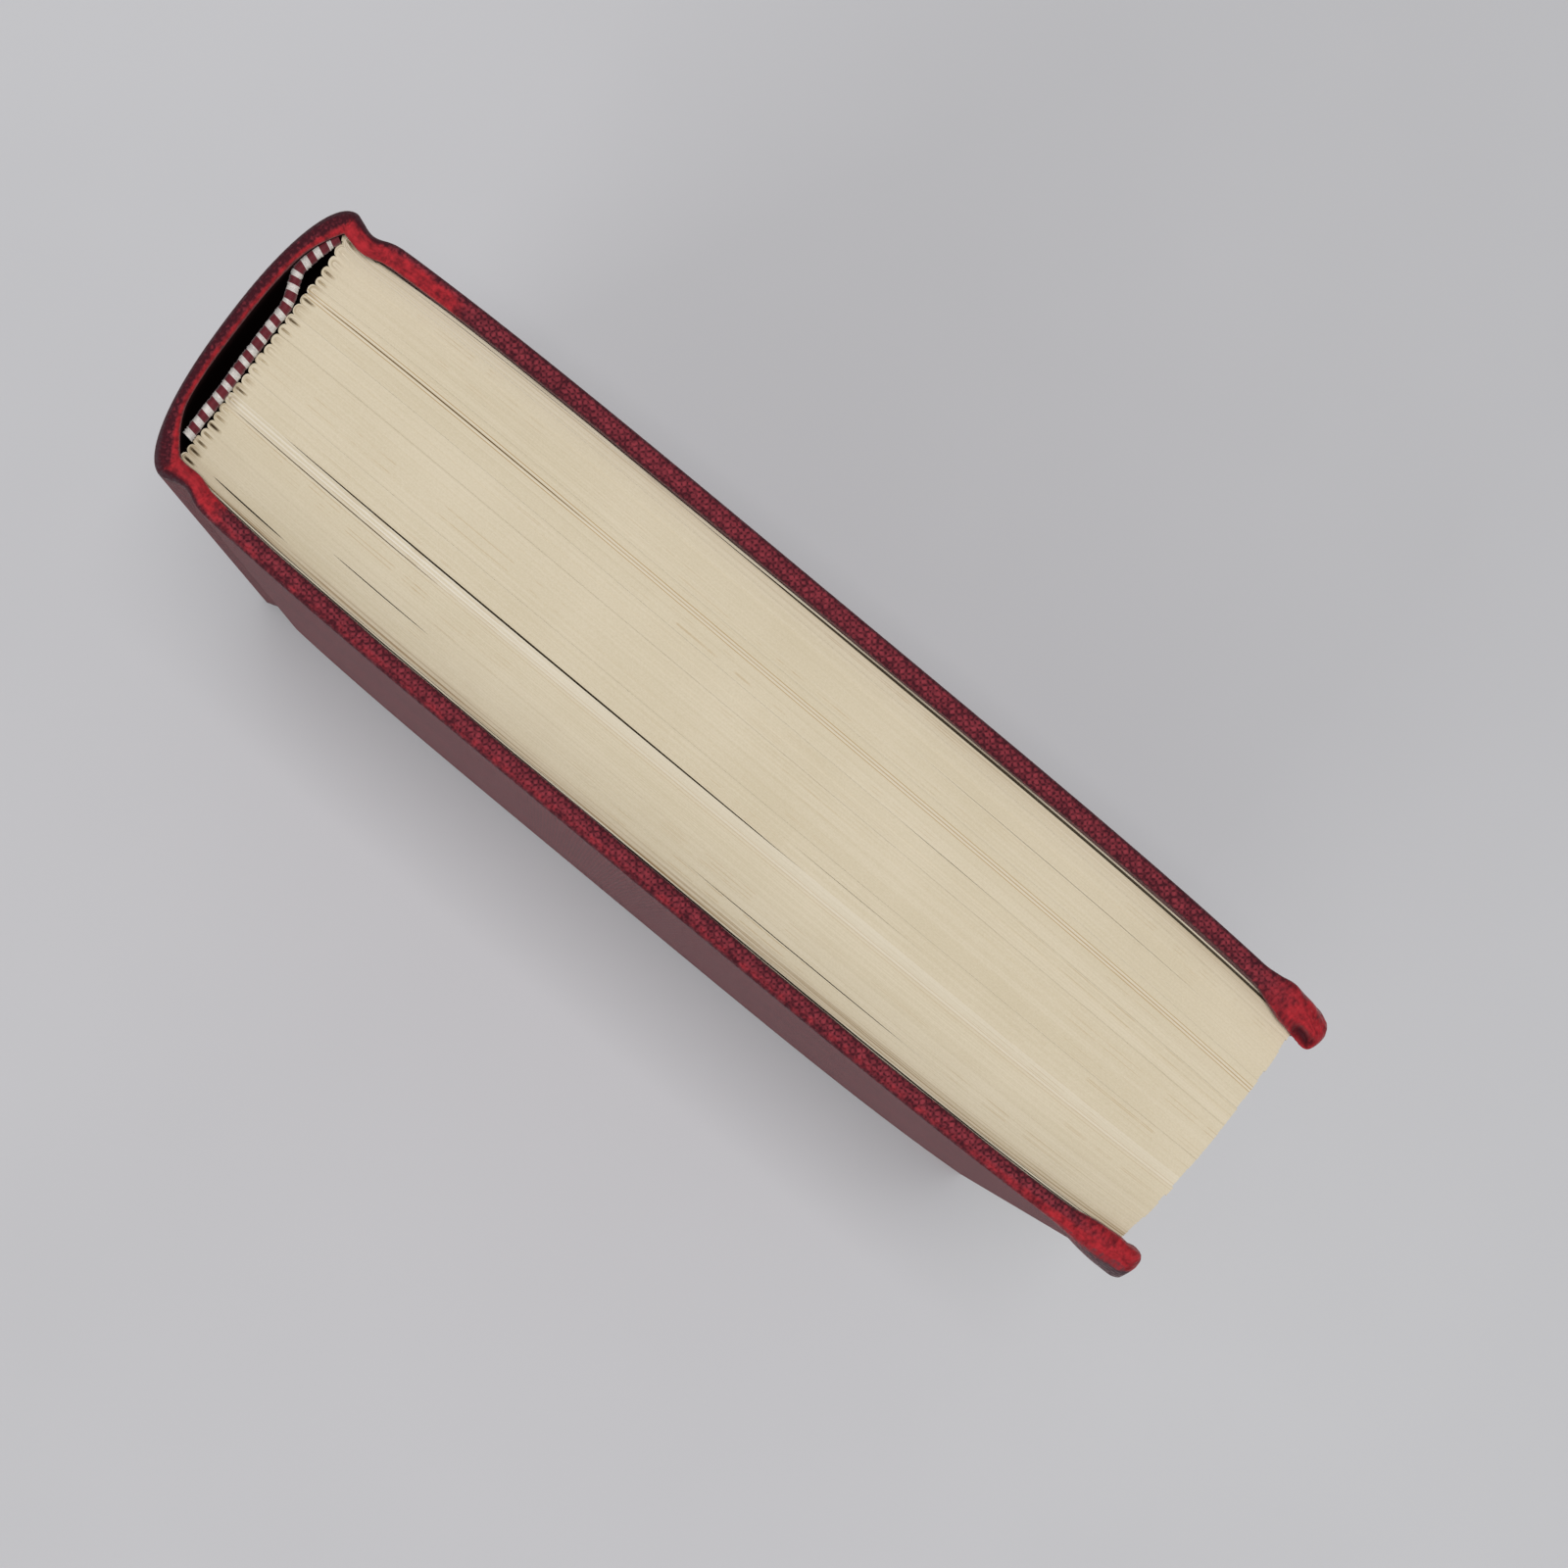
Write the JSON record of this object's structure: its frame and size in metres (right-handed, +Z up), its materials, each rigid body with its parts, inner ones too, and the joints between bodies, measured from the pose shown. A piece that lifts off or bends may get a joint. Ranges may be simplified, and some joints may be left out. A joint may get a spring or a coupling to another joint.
{
  "type": "cloth-bound hardcover book",
  "caption": "Thick octavo hardcover book in worn red cloth, with a rounded hollow spine, striped headband, sewn page block and covers that open on cloth joints.",
  "frame": {"origin": "centre of the book's outline on the surface that it stands on, under its tail edges", "axes": "+Z up from tail to head, +X from the spine to the fore-edge, +Y from the front cover to the back cover"},
  "size_m": [0.1484, 0.0396, 0.2224],
  "materials": {
    "page_paper": "aged uncoated paper",
    "endpaper": "smooth aged paper",
    "gauze": "open glued gauze",
    "lining_paper": "kraft paper",
    "band_silk": "striped thread",
    "binders_board": "grey-brown board",
    "book_cloth": "worn plain-weave book cloth"
  },
  "bodies": {
    "text_block": {"text_block": "page_paper", "front_flyleaf": "endpaper", "back_flyleaf": "endpaper", "spine_mull": "gauze", "spine_lining": "lining_paper", "headband": "band_silk", "tailband": "band_silk", "spine_inlay": "binders_board", "spine_cloth": "book_cloth"},
    "front_cover": {"front_board": "binders_board", "front_cover_cloth": "book_cloth", "front_pastedown": "endpaper"},
    "back_cover": {"back_board": "binders_board", "back_cover_cloth": "book_cloth", "back_pastedown": "endpaper"}
  },
  "joints": [
    {"name": "front_cover_hinge", "type": "hinge", "parent": "text_block", "child": "front_cover", "pos_m": [-0.06538, -0.01907, 0.1112], "axis": [0, 0, -1], "range_deg": [0, 180]},
    {"name": "back_cover_hinge", "type": "hinge", "parent": "text_block", "child": "back_cover", "pos_m": [-0.06738, 0.01907, 0.1112], "axis": [0, 0, 1], "range_deg": [0, 180]}
  ]
}
